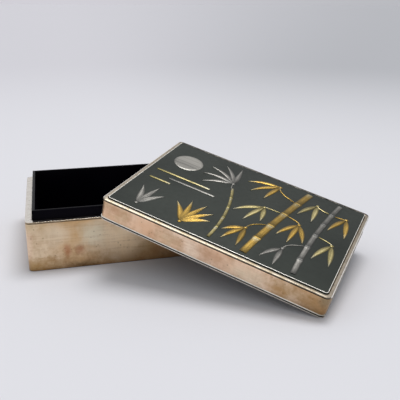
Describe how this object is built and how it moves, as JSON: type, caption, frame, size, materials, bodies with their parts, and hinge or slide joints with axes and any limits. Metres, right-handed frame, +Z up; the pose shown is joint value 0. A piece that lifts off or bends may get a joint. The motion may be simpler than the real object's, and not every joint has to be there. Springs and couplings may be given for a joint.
{
  "type": "tobacco box",
  "caption": "Low rectangular silver-clad tobacco box with a raised black lip and a loose lid whose dark plaque is inlaid with bamboo, leaning on its corner.",
  "frame": {"origin": "centre of the flat underside of the box", "axes": "+X along the long side of the box, +Y towards its back, +Z up out of its mouth"},
  "size_m": [0.2282, 0.212, 0.0664],
  "materials": {
    "aged_silver": "finely hammered sheet silver, warm with age",
    "bright_silver": "polished silver with small pits",
    "dark_plaque": "dark grey patinated copper alloy, satin",
    "black_lacquer": "black lacquer on thin board, satin gloss",
    "core_wood": "planed softwood, hidden",
    "yellow_gold": "gold relief inlay, chased",
    "pale_gold": "pale gold relief inlay, chased",
    "grey_silver": "silver relief inlay, greyed in the hollows"
  },
  "bodies": {
    "box": {"box_silver_band": "aged_silver", "box_rim_frame": "bright_silver", "box_base_plate": "aged_silver", "box_core_floor": "core_wood", "box_core_front": "core_wood", "box_core_right": "core_wood", "box_core_back": "core_wood", "box_core_left": "core_wood", "box_lining_floor": "black_lacquer", "box_lining_front": "black_lacquer", "box_lining_right": "black_lacquer", "box_lining_back": "black_lacquer", "box_lining_left": "black_lacquer"},
    "lid": {"lid_silver_band": "aged_silver", "lid_rim_frame": "bright_silver", "lid_border_frame": "bright_silver", "lid_wire_frame": "bright_silver", "lid_plaque": "dark_plaque", "lid_core_board": "core_wood", "lid_rail_front": "core_wood", "lid_rail_right": "core_wood", "lid_rail_back": "core_wood", "lid_rail_left": "core_wood", "lid_ceiling": "black_lacquer", "lid_lining_front": "black_lacquer", "lid_lining_right": "black_lacquer", "lid_lining_back": "black_lacquer", "lid_lining_left": "black_lacquer", "inlay_culm_old": "yellow_gold", "inlay_spray_top": "yellow_gold", "inlay_spray_low": "yellow_gold", "inlay_spray_between": "yellow_gold", "inlay_spray_right": "yellow_gold", "inlay_grass_gold": "yellow_gold", "inlay_culm_young": "pale_gold", "inlay_mist_high": "pale_gold", "inlay_mist_low": "pale_gold", "inlay_spray_middle": "pale_gold", "inlay_spray_hanging": "pale_gold", "inlay_spray_far": "pale_gold", "inlay_culm_grey": "grey_silver", "inlay_moon": "grey_silver", "inlay_mist_middle": "grey_silver", "inlay_spray_young": "grey_silver", "inlay_spray_foot": "grey_silver", "inlay_grass_grey": "grey_silver"}
  },
  "joints": [
    {"name": "lid_lift", "type": "slide", "parent": "box", "child": "lid", "axis": [0, 0, 1], "range_m": [0, 0.1]}
  ]
}
